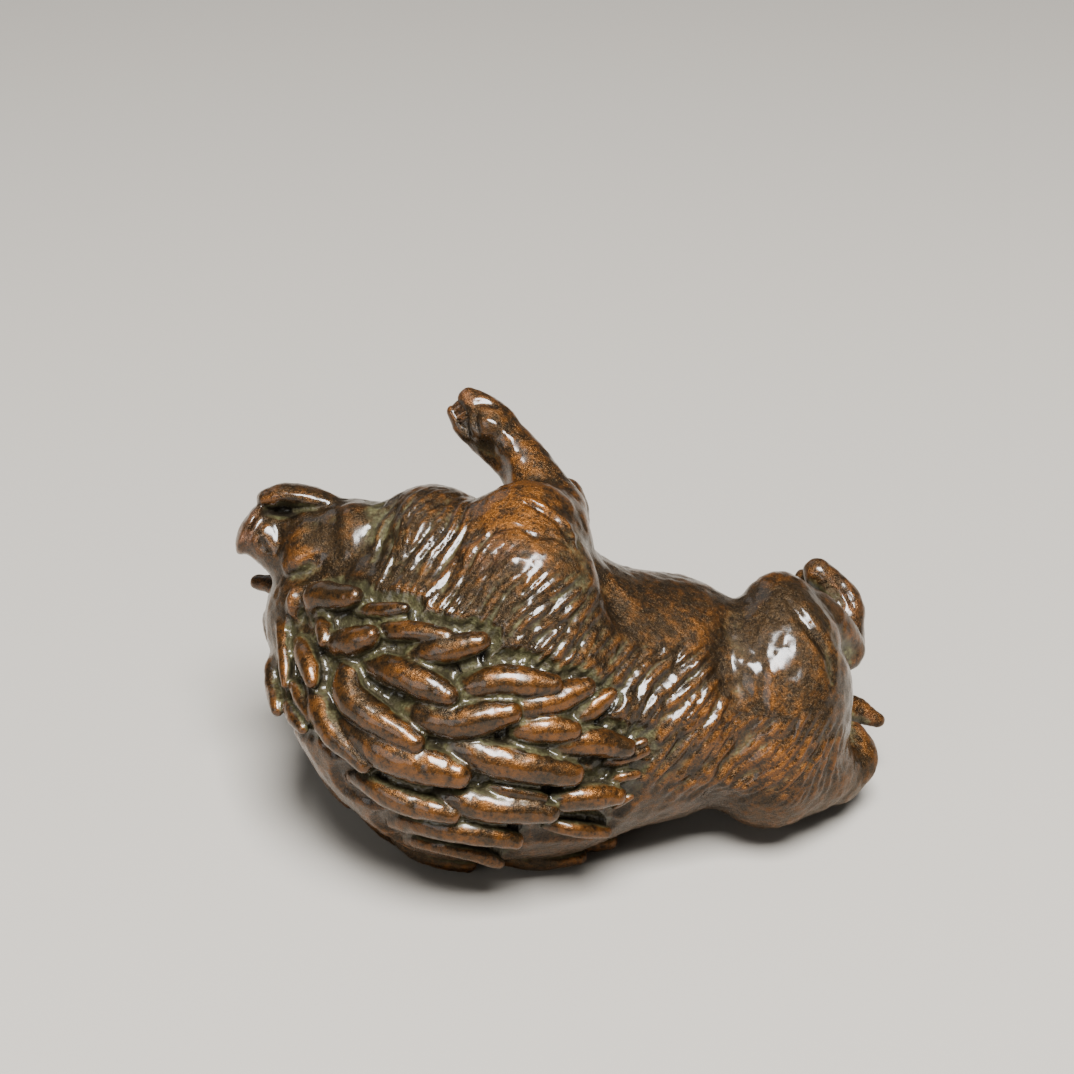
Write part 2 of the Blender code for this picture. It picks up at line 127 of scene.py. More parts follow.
head = [
    # the skull, the jaw muscle and the cheek
    ball((-28.5, 7.6, 0), (8.2, 9, 9.5)),
    ball((-25.3, 16.2, 1), (7, 6.5, 8), blend=2),
    ball((-24.6, 17, 5.4), (3.6, 4.6, 3.3), blend=1.6),
    ball((-30.6, 15.6, 4), (3.2, 3.2, 3.6), blend=1),
    ball((-31, 18.2, 4), (2.4, 1.7, 2.2), turn=20, blend=0.8),
    # the snout and its flat end
    bar([(-29.5, 14.6, 0.5), (-33, 16.2, 0.5), (-36.8, 18, 0.5)], [5.4, 4.2, 3.1], blend=1.5),
    bar([(-27.5, 19.6, 1.2), (-31.3, 19.8, 1.2), (-34.4, 18.9, 0.9)], [1.8, 1.7, 1.3],
        wide=1.9, blend=0.9),
    ball((-38.3, 19, 0.5), (1.2, 3.6, 3.5), turn=-27, blend=0.7),
    # the tongue, deep in the mouth, and the lower jaw above it
    bar([(-27, 20.9, -0.6), (-32, 21.1, -0.8), (-36.2, 21.6, -0.8)], [1.6, 1.5, 1.1], blend=0.5),
    bar([(-27.2, 21.3, 0.5), (-30.6, 22.6, 0.5), (-34.2, 23.1, 0.5), (-36.5, 22.6, 0.5)],
        [1.4, 1.6, 1.55, 1.2], wide=2.1, blend=0.4),
    # the closed eye, the far ear and the root of the near ear
    bar([(-33.3, 14.2, 5.8), (-31.2, 15.4, 6.6), (-28.6, 16.2, 7)], [0.6, 0.75, 0.5], blend=1.2),
    bar([(-33, 10.5, -7), (-36, 11.5, -9), (-39, 12.1, -10)], [2, 1.5, 1], blend=0.8),
    bar([(-31.2, 10, 8.6), (-28.8, 10.8, 10), (-26.5, 10.2, 11.3)], [2, 1.9, 1.4], blend=0.8),
    # the folds beneath the eye and behind the jaw
    fold([(-33.2, 12.8, 6.2), (-30.6, 13.4, 7.4), (-27.8, 14.8, 8.5)], 1.0, 0.25),
    fold([(-27.4, 20.9, 6), (-27.8, 18.1, 8.2), (-27, 15.1, 8.9)], 1.2, 0.6),
    fold([(-19.8, 22.8, 6.6), (-20.9, 19.3, 10.4), (-22.2, 14.5, 12.4)], 1.5, 0.9),
]
forelegs = [
    # the near upper arm, the raised forearm, the large toe and the small one
    bar([(-9, 17, 9), (-4, 19.2, 9.5), (-0.8, 18.2, 7.5)], [5.2, 5.5, 4.6], blend=2.5),
    bar([(-0.6, 21, 4), (-3, 24.6, 2), (-5.3, 27.8, 0.5), (-8.6, 31.3, -1)], [4, 3.6, 3.4, 3.3]),
    bar([(-8.3, 31.8, -0.3), (-9.6, 33.7, -0.2), (-11.3, 35.1, -0.2)], [3, 2.3, 1.55], blend=0.7),
    bar([(-10, 29.9, -0.6), (-11.9, 31.6, -0.4), (-13.2, 33.6, -0.4)], [1.4, 1.25, 0.85], blend=0.3),
    # the pads of the paw, and the bulge of the near shoulder
    ball((-8.6, 31.6, 1.3), (2.2, 2.7, 1.6), turn=25, blend=0.7),
    ball((-10.6, 31.9, 0.9), (0.9, 1.5, 1.2), turn=20, blend=0.3),
    ball((-8.3, 16.1, 16), (3, 1.4, 1.4), turn=10, blend=1),
    # the far arm and its folded forearm
    bar([(-4, 12, -8), (0, 20, -8), (0.8, 23.2, -7)], [7, 4, 2.4]),
    bar([(0.6, 22.6, -9), (-5, 21, -13), (-11, 20.5, -13)], [2.4, 2.4, 2], blend=0.8),
]
hindLegs = [
    # the near thigh, knee, shank and folded foot
    ball((28.2, 1, 1), (7.4, 10.8, 7.6), blend=4.5),
    bar([(26.8, 4.5, 0), (27.6, 9.3, -1)], [5.4, 4.3]),
    bar([(28.5, 9, -1.5), (33, 6.9, -3), (36.2, 3.6, -6)], [3.8, 3.6, 3], blend=0.8),
    bar([(37, 4.2, -8.5), (36.9, 9.5, -9.5), (33.6, 13.2, -9.5)], [2.5, 2.4, 1.9], blend=0.5),
    bar([(33.4, 12, -11.5), (31.8, 12.8, -12)], [1.5, 0.9], blend=0.3),
    # the tail, and the far hoof beside it
    bar([(36.4, -13.2, -8), (38.8, -10.8, -9), (38.2, -8, -10)], [2.6, 2.5, 1.9], blend=1),
    bar([(35, -6, -13), (38.6, -4.8, -14), (42, -6.2, -14)], [2.4, 1.9, 1], blend=0.8),
    # the far thigh, the far buttock and the root of the tail
    ball((28, 0, -12), (8.5, 11, 6)),
    ball((26.5, -8, -10), (9.5, 10, 8.2)),
    ball((32.5, -12, -6), (5.5, 4.5, 6)),
]

# Folds drawn on the near side as it is seen square to the flank: their points along and up the
# figure, their width, and their depth, which is below nought for a ridge.
drawnFolds = [
    # over the near elbow, across the shoulder and round its bulge
    ([(-4.9, 23), (-3, 22.3), (-0.7, 21), (0.8, 19.7), (1.7, 18.2), (2, 16)], 0.35, -0.5),
    ([(-5, 22.5), (-3.2, 21.7), (-1.1, 20.4), (0.3, 19.1), (1, 17.6)], 0.35, 0.35),
    ([(-11.1, 15.9), (-10.1, 16.9), (-8.6, 18.4), (-6.7, 19.1), (-4, 19.2)], 0.4, 0.6),
    ([(-5.5, 19.4), (-3, 18), (-1.1, 18.1), (0.1, 17.5), (1.6, 16.5)], 0.35, 0.4),
    # the toes, the creases of the paw and the hollow of the palm
    ([(-13.2, 35), (-12.5, 34), (-11.7, 32.4), (-11.2, 30.4)], 0.5, 1.1),
    ([(-10.9, 34.6), (-9.3, 34.7), (-7.5, 34.2)], 0.4, 0.5),
    ([(-10.4, 33.9), (-10.4, 32), (-9.8, 30.2)], 0.4, 0.5),
    ([(-9.8, 33), (-7.8, 31.6), (-5.9, 30)], 0.8, -0.25),
    ([(-10.6, 29.2), (-8.8, 28), (-7.6, 26.2), (-6.8, 24.8)], 1.7, 1.3),
    # the rim and the ring of the snout, its nostril, and the corner of the mouth
    ([(-37.1, 20.6), (-38.4, 18.8), (-39.5, 16.9)], 0.4, 0.5),
    ([(-36.1, 19.8), (-37.1, 18.4), (-38.6, 16.4)], 0.45, -0.4),
    ([(-37.4, 17.8), (-37.1, 16.9), (-36.3, 16.1)], 0.4, 0.5),
    ([(-35.6, 19.6), (-35, 18), (-35.3, 16)], 0.5, 0.35),
    # the fold of the thigh over the shank
    ([(28, 10.9), (29.3, 9), (30.9, 6.9), (32.6, 4.8), (33.7, 2.7), (34.2, -0.3)], 0.6, 0.8),
    ([(30.2, 11.2), (31, 9), (32.6, 6.9), (34.2, 4.8)], 0.8, -0.3),
    # the hind foot's cords, its toe and the hollow of the hock
    ([(34.5, 12.9), (36, 11), (37.1, 8.5)], 0.45, 0.5),
    ([(33.4, 12.2), (34.9, 10.2), (35.9, 8.5)], 0.45, 0.5),
    ([(35.1, 4), (36.4, 3.8), (37.6, 3.5)], 1.2, 0.5),
    # the dimple of the haunch and the creases below the loin
    ([(22.3, 3.3), (24.1, 1), (24.5, -2.3)], 1.1, -0.3),
    ([(26.2, 2.5), (26.9, -0.5), (26.6, -4)], 1, -0.3),
    ([(13.6, -13.5), (16, -12.6), (19, -12.2)], 0.5, 0.4),
]

# The near locks, drawn the same way: root, middle, tip and width. They are repeated on the far side.
mane = {
    "centre": (-10.5, -0.5, 3),
    "spineAngle": 185,
    "farEnd": 135,          # no far lock's tip is further back than this
    "broad": 4.8,           # the width of the broadest lock
    "rise": 2.9,            # how far it stands up from the body
    "fullness": 0.585,      # a lock's radius at its middle, as a share of its drawn width
    "taper": 0.36,          # how much of that it loses towards both ends
    "ground": 0.8,          # how much lower the body is cut between locks
    "groundReach": 2.4,     # this far from a lock the cut has faded out
    "groundFade": 1.6,
    "brow": -33,            # it isn't cut further forward than this
    "underside": -16,       # nor lower than this over the middle of the leant carving
    # the two lobes of the near ear
    "ear": [
        ((-31, 7.9), (-30.6, 10.8), (-26.2, 11), 3.1), ((-30.3, 8.4), (-30.1, 6.8), (-29.9, 5), 2),
    ],
    "near": [
        # behind the ear
        ((-29.6, 4.9), (-26.8, 5.2), (-24.1, 5.9), 3.1),
        ((-25.8, 9.1), (-22.4, 9.1), (-19.5, 9.2), 1.8),
        ((-23.4, 6.5), (-19.2, 6.5), (-14, 5.8), 2.2), ((-18.9, 3.1), (-14.9, 4.1), (-9.9, 4.9), 3.1),
        # the long curved ones below them
        ((-24.1, 2.2), (-19.2, 0.4), (-14, -2), 3.5), ((-27, 2), (-26.8, -2.8), (-18.4, -8.2), 3.6),
        ((-28.9, -4.5), (-21.8, -10), (-12.8, -12.6), 4.6),
        ((-26.1, -12.5), (-20.5, -15.9), (-13.6, -17.6), 3),
        # over the shoulder
        ((-13.4, -1.6), (-7.4, -0.1), (-0.4, -0.6), 3.4), ((-20.1, -4), (-13, -5.6), (-5.9, -4.2), 3.8),
        ((-7.4, -3.9), (-1.1, -2.9), (3.9, -0.9), 3.2), ((-5.4, -6.8), (-1.8, -6.5), (2, -6.5), 3.2),
        ((1.6, -5.4), (4.6, -3.8), (6.9, -1.8), 2.2), ((-1.5, -9.2), (4.1, -8.1), (9, -8.8), 3.1),
        ((7.6, -9.2), (9.6, -8.5), (10.9, -7.8), 1.3), ((6.1, -10.4), (8.9, -9.9), (11.1, -9), 1.5),
        ((6.4, -12.9), (8.2, -12.4), (10, -12), 1.3), ((7.2, -16), (8.2, -15.4), (9.2, -14.8), 1.1),
        # along the side of the back
        ((-14.9, -8.1), (-6.8, -11), (2.2, -12.4), 3.8),
        ((-16.4, -14.9), (-8.6, -17), (-1, -17.4), 3.5),
        ((-9, -13.6), (-5.5, -14.4), (-1.8, -15), 1.5), ((-2, -15.9), (3.2, -15.6), (7.8, -15.1), 3),
        ((-1.4, -18.5), (2.4, -19.4), (6.2, -19.6), 1.8),
        ((-20.9, -18.4), (-13.4, -19.9), (-5.4, -21), 3),
        ((-19.2, -20.6), (-13, -22), (-7.4, -23.6), 1.9),
        # on the brow and the nape
        ((-33.2, 5), (-32.6, 2.8), (-31.6, -0.1), 2.4),
        ((-31.6, -0.5), (-30.2, -5.9), (-24.9, -11), 2.8),
        ((-34, 0), (-33.1, -2.2), (-31.6, -4.8), 1.6),
        ((-34.8, -2.8), (-34.1, -4.6), (-32.6, -6.2), 1.8),
        ((-36.1, 3.1), (-36.9, 0), (-36, -4), 2.1), ((-35.4, 7.2), (-35.1, 3.1), (-34.8, -0.5), 1.5),
    ],
    # along the spine, beneath: the angles of root and of tip, first back from the face and then round
    # from the throat, and the width
    "spine": [
        (24, 214, 46, 204, 2.9), (40, 204, 74, 197, 3.8), (70, 202, 102, 196, 3.6),
        (98, 202, 128, 196, 3.1), (58, 187, 88, 187, 2.9), (92, 187, 120, 187, 2.9),
    ],
}


# The blended surface

def alongSegment(points, start, end):
    # how far along the segment each point's nearest place on it is, and how far away that is
    along = end - start
    share = np.clip((points - start) @ along / (along @ along), 0, 1)
    return share, np.linalg.norm(points - start - share[:, None] * along, axis=1)


def distance(mass, points):
    if mass["kind"] == "ball":
        local = (points - mass["centre"]) @ mass["spin"]
        near = np.linalg.norm(local / mass["radii"], axis=1)
        steepness = np.linalg.norm(local / mass["radii"] ** 2, axis=1)
        return near * (near - 1) / np.maximum(steepness, 1e-6)
    squash = np.array([1, 1, 1 / mass["wide"]])
    path = mass["path"] * squash
    local = points * squash
    best = np.full(len(points), np.inf)
    for start, end, radius, nextRadius in zip(path, path[1:], mass["radii"], mass["radii"][1:]):
        share, gap = alongSegment(local, start, end)
        best = np.minimum(best, gap - radius - share * (nextRadius - radius))
    return best


def boxOf(mass):
    if mass["kind"] == "ball":
        half = mass["radii"].max()
        low, high = mass["centre"] - half, mass["centre"] + half
    else:
        half = mass["radii"].max() * np.array([1, 1, mass["wide"]])
        low, high = mass["path"].min(axis=0) - half, mass["path"].max(axis=0) + half
    room = mass["blend"] + 2.5
    return low - room, high + room


def blended(first, second, width):
    mix = np.clip(0.5 + 0.5 * (first - second) / width, 0, 1)
    return first + (second - first) * mix - width * mix * (1 - mix)


def outside(masses, points):
    # how far each point is outside the carving, below nought inside it
    total = np.full(len(points), 20.0)
    for mass in masses:
        low, high = boxOf(mass)
        near = np.flatnonzero(np.all((points > low) & (points < high), axis=1))
        if not len(near):
            continue
        new, old = distance(mass, points[near]), total[near]
        if mass["kind"] == "fold":
            total[near] = old + mass["depth"] * np.exp(-(new / mass["width"]) ** 2)
        else:
            total[near] = blended(old, new, mass["blend"])
    return total


def uphill(field, points, here):
    step = 0.03
    return np.column_stack([(field(points + shift) - here) / step for shift in np.eye(3) * step])


def unit(rows):
    return rows / np.maximum(np.linalg.norm(rows, axis=-1, keepdims=True), 1e-9)


def seenAt(field, drawn, lift):
    # where the sight line through each drawn point is as high over the surface as lift says, or
    # passes nearest to that height
    eye = np.array(carving["eye"], float)
    sight = unit(np.column_stack([drawn, np.zeros(len(drawn))]) - eye)
    spot = eye + sight * ((26 - eye[2]) / sight[:, 2:])
    best, least = spot.copy(), np.full(len(spot), np.inf)
    for _ in range(90):
        here = field(spot) - lift
        closer = np.abs(here) < least
        best[closer], least[closer] = spot[closer], np.abs(here)[closer]
        spot = spot + sight * np.clip(0.8 * here, -0.5, 0.9)[:, None]
    for _ in range(4):
        here = field(best)
        best = best - unit(uphill(field, best, here)) * (here - lift)[:, None]
    return best


def drawnPaths(field, courses, lifts):
    # every course smoothed, then laid over the surface together
    paths = [smoothPath([(*point, 0) for point in course], [0] * len(course))[0] for course in courses]
    lift = np.concatenate([np.interp(np.linspace(0, 1, len(path)), np.linspace(0, 1, len(rise)), rise)
                           for path, rise in zip(paths, lifts)])
    ends = np.cumsum([len(path) for path in paths])
    return np.split(seenAt(field, np.vstack(paths)[:, :2], lift), ends[:-1])


def foldsOn(field):
    paths = drawnPaths(field, [points for points, _, _ in drawnFolds], [[0, 0]] * len(drawnFolds))
    return [foldAlong(path, width, depth) for path, (_, width, depth) in zip(paths, drawnFolds)]


def aroundMane(field, back, around, rise):
    # a course laid over the surface from its angles about the mane's centre
    outward = np.stack([-np.cos(back), np.sin(back) * np.cos(around), np.sin(back) * np.sin(around)],
                       axis=-1)
    centre, reach = np.array(mane["centre"], float), np.full(len(back), 50.0)
    for _ in range(60):
        reach -= 0.8 * (field(centre + outward * reach[:, None]) - rise)
    return centre + outward * reach[:, None]


def riseOf(width, share):
    tip = min(mane["rise"] * (0.35 + 0.65 * width / mane["broad"]), 0.85 * width)
    return tip * (1.05 - 1.1 * (1 - share) ** 3)


def locksOn(field):
    share = np.linspace(0, 1, 11)
    drawn = mane["ear"] + mane["near"]
    widths = [lock[3] for lock in drawn]
    tops = drawnPaths(field, [lock[:3] for lock in drawn], [riseOf(width, share) for width in widths])
    # the mane's locks again on the far side, turned round the body past the spine
    spine = math.radians(mane["spineAngle"])
    hidden = []
    for path, width in list(zip(tops, widths))[len(mane["ear"]):]:
        reach = unit(path - np.array(mane["centre"]))
        back = np.arccos(-reach[:, 0])
        if back[-1] < math.radians(mane["farEnd"]):
            around = np.arctan2(reach[:, 2], reach[:, 1]) % (2 * math.pi)
            hidden.append((back, 2 * spine - around, width))
    for root, rootTurn, tip, tipTurn, width in mane["spine"]:
        back = np.radians(root + (tip - root) * share)
        around = np.radians(rootTurn + (tipTurn - rootTurn) * share)
        hidden.append((back, around, width))
    for back, around, width in hidden:
        tops.append(aroundMane(field, back, around, riseOf(width, share)))
        widths.append(width)
    locks = []
    for path, width in zip(tops, widths):
        normal = unit(uphill(field, path, field(path)))
        # a lock is fullest a little before its middle
        radii = mane["fullness"] * width * (1 - mane["taper"] * np.abs(2 * share ** 0.85 - 1) ** 3)
        locks.append({"kind": "bar", "path": path - normal * radii[:, None], "radii": radii,
                      "wide": 1.0, "blend": 0.25})
    return locks


# Blender's objects

def clearSelection():
    bpy.ops.object.select_all(action="DESELECT")


def makeActive(item):
    clearSelection()
    item.select_set(True)
    bpy.context.view_layer.objects.active = item


def applyModifier(item, kind, **settings):
    makeActive(item)
    modifier = item.modifiers.new(kind.title(), kind)
    for name, value in settings.items():
        setattr(modifier, name, value)
    bpy.ops.object.modifier_apply(modifier=modifier.name)


def copied(pattern, matrix):
    item = pattern.copy()
    item.data = pattern.data.copy()
    item.matrix_world = matrix
    bpy.context.scene.collection.objects.link(item)
    return item


def roughClay(masses):
    # one ball modelled once, then copied to every mass and along every bar
    clearSelection()
    bpy.ops.mesh.primitive_ico_sphere_add(subdivisions=4, radius=1)
    large = bpy.context.object
    bpy.ops.mesh.primitive_ico_sphere_add(subdivisions=2, radius=1)
    small = bpy.context.object
    lumps = []
    for mass in masses:
        if mass["kind"] == "ball":
            place = Matrix.Translation(mass["centre"]) @ Matrix(mass["spin"]).to_4x4()
            lumps.append(copied(large, place @ Matrix.Diagonal((*mass["radii"], 1))))
        elif mass["kind"] == "bar":
            for point, radius in zip(mass["path"], mass["radii"]):
                size = Matrix.Diagonal((radius, radius, radius * mass["wide"], 1))
                lumps.append(copied(small, Matrix.Translation(point) @ size))
    clearSelection()
    for item in lumps:
        item.select_set(True)
    bpy.context.view_layer.objects.active = lumps[0]
    bpy.ops.object.join()
    clay = bpy.context.object
    clay.name = clay.data.name = "bronze_boar"
    bpy.ops.object.transform_apply(location=True, rotation=True, scale=True)
    for item in (large, small):
        bpy.data.objects.remove(item, do_unlink=True)
    return clay


def readRows(rows, name, width, kind=float):
    values = np.empty(len(rows) * width, kind)
    rows.foreach_get(name, values)
    return values.reshape(-1, width)


def pointsOf(item):
    return readRows(item.data.vertices, "co", 3)


def normalsOf(item):
    return readRows(item.data.vertices, "normal", 3)


def edgesOf(item):
    return readRows(item.data.edges, "vertices", 2, np.int64)


def movePoints(item, points):
    item.data.vertices.foreach_set("co", np.ascontiguousarray(points, dtype=np.float32).ravel())
    item.data.update()


def neighbourMean(values, edges, count):
    mean = np.zeros_like(values)
    for column in range(values.shape[1]):
        mean[:, column] = (np.bincount(edges[:, 0], values[edges[:, 1], column], len(values))
                           + np.bincount(edges[:, 1], values[edges[:, 0], column], len(values)))
    return mean / np.maximum(count, 1)[:, None]


def settle(clay, field, rounds, evenness):
    # moves the surface on to the blended carving and evens out its points
    points, edges = pointsOf(clay), edgesOf(clay)
    count = np.bincount(edges.ravel(), minlength=len(points))
    for turn in range(rounds):
        here = field(points)
        slope = uphill(field, points, here)
        steepness = np.linalg.norm(slope, axis=1)[:, None]
        step = np.clip(here[:, None] / np.maximum(steepness, 0.7), -0.6, 0.6)
        points = points - slope / np.maximum(steepness, 0.05) * step
        if turn < rounds - 1:
            points = points + evenness * (neighbourMean(points, edges, count) - points)
    movePoints(clay, points)


def keepOuterShell(item):
    # the closed gaps left between locks go
    label = np.arange(len(item.data.vertices))
    edges = edgesOf(item)
    while True:
        lowest = np.minimum(label[edges[:, 0]], label[edges[:, 1]])
        fresh = label.copy()
        np.minimum.at(fresh, edges[:, 0], lowest)
        np.minimum.at(fresh, edges[:, 1], lowest)
        fresh = fresh[fresh]
        if (fresh == label).all():
            break
        label = fresh
    main = np.bincount(label).argmax()
    if (label == main).all():
        return
    shape = bmesh.new()
    shape.from_mesh(item.data)
    stray = [point for point, mark in zip(shape.verts, label) if mark != main]
    bmesh.ops.delete(shape, geom=stray, context="VERTS")
    shape.to_mesh(item.data)
    shape.free()


# Chased fur

fur = {
    "seed": 7,
    "tries": 26000,         # how many places are tried for a tuft
    "spacing": (0.66, 0.9),     # tufts lie this share of their length and width apart at least
    "axis": (-2, -2),       # the body's middle, up and out
    # along the body: how steeply the hair lies, and how wide, long and high one tuft is
    "along": (-24, -14, -4, 8, 16, 28),
    "angle": (60, 54, 41, 46, 40, 50),
    "width": (1.7, 1.35, 1.05, 1.45, 1.4, 1.2),
    "length": (12, 11, 8.5, 10, 9, 7),
    "height": (0.42, 0.44, 0.4, 0.5, 0.48, 0.48),
    # where it grows: middle and half size along and up, and how strong it is there
    "grown": [(-16, 15, 10, 10, 1), (-4, 6, 11, 8, 1), (-6, 1, 16, 8, 1), (10, -2, 11, 9, 1),
              (17, -8, 9, 6, 0.9), (26, -9, 10, 6, 0.9)],
    "bare": [(-3.5, 21, 8, 3.6, 1), (26.5, 4, 8.5, 7.6, 1), (13, 10, 9, 5.5, 1), (-29, 14, 6.5, 12, 1)],
}


def softNoise(points, size, seed):
    scaled = points / size
    cell = np.floor(scaled).astype(np.int64)
    fade = scaled - cell
    fade = fade * fade * (3 - 2 * fade)
    total = np.zeros(len(points))
    for corner in itertools.product((0, 1), repeat=3):
        spot = (cell + corner) * (73856093, 19349663, 83492791)
        number = (spot[:, 0] ^ spot[:, 1] ^ spot[:, 2] ^ (seed * 2654435761)) & 0xFFFFFFFF
        number = ((number ^ (number >> 15)) * 2246822519) & 0xFFFFFFFF
        number = ((number ^ (number >> 13)) * 3266489917) & 0xFFFFFFFF
        weight = np.prod(np.where(corner, fade, 1 - fade), axis=1)
        total += weight * (((number ^ (number >> 16)) & 0xFFFF) / 32767.5 - 1)
    return total


def inRegion(points, region):
    middle, up, halfAlong, halfUp, strength = region
    away = np.hypot((points[:, 0] - middle) / halfAlong, (points[:, 1] - up) / halfUp)
    return strength * np.clip((1.15 - away) / 0.35, 0, 1)


def furCover(points):
    cover = np.zeros(len(points))
    for region in fur["grown"]:
        cover = np.maximum(cover, inRegion(points, region))
    for region in fur["bare"]:
        cover *= 1 - inRegion(points, region)
    return cover


def furAt(points, name):
    return np.interp(points[:, 0], fur["along"], fur[name])


def furFlow(points, normal):
    # from the spine towards the belly and back towards the tail, along the surface
    up, out = points[:, 1] - fur["axis"][0], points[:, 2] - fur["axis"][1]
    side = np.where(out > 0, 1, -1)
    radius = np.maximum(np.hypot(up, out), 1e-6)
    angle = np.radians(furAt(points, "angle"))
    angle = angle + 0.22 * softNoise(points, 6, 3) + 0.26 * softNoise(points, 2.4, 4)
    flow = np.column_stack([np.cos(angle), np.sin(angle) * np.abs(out) / radius,
                            -np.sin(angle) * side * up / radius])
    return unit(flow - normal * np.sum(flow * normal, axis=1)[:, None])


def furTufts(field, points, normal):
    # tufts in staggered order, each a short path along the flow
    dice = np.random.default_rng(fur["seed"])
    order = dice.permutation(np.flatnonzero(furCover(points) > 0.15))[:fur["tries"]]
    places, flow = points[order], furFlow(points[order], normal[order])
    width, length = furAt(places, "width"), furAt(places, "length")
    longGap, wideGap = fur["spacing"]
    taken = np.empty((0, 3))
    chosen = []
    for number, (place, lay) in enumerate(zip(places, flow)):
        gap = taken - place
        alongGap = gap @ lay
        acrossGap = np.linalg.norm(gap - alongGap[:, None] * lay, axis=1)
        alongShare = alongGap / (longGap * length[number])
        acrossShare = acrossGap / (wideGap * width[number])
        if np.any(alongShare ** 2 + acrossShare ** 2 < 1):
            continue
        taken = np.vstack([taken, place])
        chosen.append(number)
    start = places[chosen]
    length = length[chosen] * dice.uniform(0.75, 1.3, len(chosen))
    width = width[chosen] * dice.uniform(0.8, 1.2, len(chosen))
    height = furAt(start, "height") * dice.uniform(0.7, 1.15, len(chosen))
    steps = 5
    paths = [start]
    for way in (1, -1):
        spot, line = start, []
        for _ in range(steps):
            facing = unit(uphill(field, spot, field(spot)))
            spot = spot + way * furFlow(spot, facing) * (length / 2 / steps)[:, None]
            spot = spot - facing * field(spot)[:, None]
            line.append(spot)
        paths = paths + line if way == 1 else line[::-1] + paths
    return np.stack(paths, axis=1), width, height


def chaseFur(field, points, normal):
    # the highest tuft wins at each point, so that a sharp valley lies between neighbours
    paths, width, height = furTufts(field, points, normal)
    report(f"{len(paths)} tufts laid")
    raised = np.zeros(len(points))
    cell = 3.0
    rows = np.floor(points / cell).astype(np.int64)
    low = rows.min(axis=0)
    size = rows.max(axis=0) - low + 3

    def keyOf(cells):
        return ((cells - low + 1) * (size[1] * size[2], size[2], 1)).sum(axis=1)

    key = keyOf(rows)
    order = np.argsort(key, kind="stable")
    starts = np.searchsorted(key[order], np.arange(size.prod() + 1))
    around = np.array(list(itertools.product((-1, 0, 1), repeat=3)))
    for path, wide, high in zip(paths, width, height):
        spots = np.floor(path / cell).astype(np.int64)[:, None] + around
        spots = np.unique(spots.reshape(-1, 3), axis=0)
        keys = keyOf(spots)
        keys = keys[(keys >= 0) & (keys < size.prod())]
        near = np.concatenate([order[starts[k]:starts[k + 1]] for k in keys])
        if not len(near):
            continue
        local = points[near]
        best, where = np.full(len(near), np.inf), np.zeros(len(near))
        segments = len(path) - 1
        for number in range(segments):
            share, gap = alongSegment(local, path[number], path[number + 1])
            closer = gap < best
            best[closer] = gap[closer]
            where[closer] = ((number + share) / segments)[closer]
        taper = 1 - np.abs(2 * where - 1) ** 2.5
        halfWidth = 0.62 * wide * (0.35 + 0.65 * taper)
        crest = high * taper ** 0.7 * (1 - np.clip(best / halfWidth, 0, 1) ** 1.5)
        raised[near] = np.maximum(raised[near], crest)
    return raised


# Where the patina gathers and wears, and where shade is painted

# middle and half size along and up, and how much
patinaAndPaintedShade = {
    "grime": [
        (-19.9, 15, 6, 9, 0.17), (-22.6, 21, 3, 3, 0.3), (-11, 7.5, 9, 6, 0.12), (2, 14.4, 3, 5, 0.4),
        (21.9, 5, 1.6, 8, 0.2), (33, 3.7, 2, 8, 0.3), (-9.2, 28.7, 3, 3, 0.3), (-31, 19.3, 4, 1.4, 0.25),
        (37, -6, 3, 2, 0.3), (36, 3.7, 2, 2.5, 0.3), (5, 5, 5, 5, 0.15),
    ],
    "warmth": [
        (-4.9, 20.6, 6, 4, 0.2), (13, 8, 8, 6, 0.06), (-6, 26, 4, 5, 0.14), (25, -8, 9, 5, 0.2),
        (16, -2.5, 5, 4, 0.12), (-30.5, 15, 3, 1.5, 0.2), (-36, 22.5, 2, 1.5, 0.2),
        (-32.6, 17.5, 2.5, 2, 0.15), (27, 5, 7, 9, -0.1), (-29, 18, 8, 8, -0.12), (-9, 8, 8, 6, -0.08),
    ],
    # painted shade: near black in the mouth wedge and in the gap between the toes
    "paintedShade": [(-34.2, 20.6, 3.2, 0.75, 1.2), (-12.4, 33.9, 0.9, 0.9, 0.6)],
    "copper": [
        (-38.5, 18.8, 1.6, 3.5, 1), (-12, 35, 3, 1.6, 0.6), (39.7, -6, 1.6, 1, 1),
        (-7.7, 16.2, 3, 1.6, 0.4), (36.9, 9.5, 3, 4, 0.35),
    ],
}


def spread(points, regions):
    # soft patches with ragged edges
    total = np.zeros(len(points))
    ragged = np.column_stack([softNoise(points, 3.5, 31), softNoise(points, 3.5, 32)])
    places = points[:, :2] + 0.9 * ragged
    for middle, up, halfAlong, halfUp, amount in regions:
        away = np.hypot((places[:, 0] - middle) / halfAlong, (places[:, 1] - up) / halfUp)
        total += amount * np.exp(-1.2 * away ** 2)
    return total


def shelterOf(item, reach, rays=20):
    # the share of the sky that each point can't see within reach
    tree = BVHTree.FromPolygons([point.co for point in item.data.vertices],
                                [tuple(face.vertices) for face in item.data.polygons])
    turn = math.pi * (3 - math.sqrt(5))
    directions = []
    for number in range(rays):
        height = 1 - (number + 0.5) * 2 / rays
        ring = math.sqrt(1 - height * height)
        around = turn * number
        directions.append(Vector((ring * math.cos(around), ring * math.sin(around), height)))
    found = np.zeros(len(item.data.vertices))
    for number, point in enumerate(item.data.vertices):
        normal = point.normal
        start = point.co + normal * (0.04 * part)
        blocked = total = 0.0
        for direction in directions:
            facing = direction.dot(normal)
            if facing > 0.1:
                total += facing
                if tree.ray_cast(start, direction, reach)[0] is not None:
                    blocked += facing
        found[number] = blocked / total if total else 0
    return found


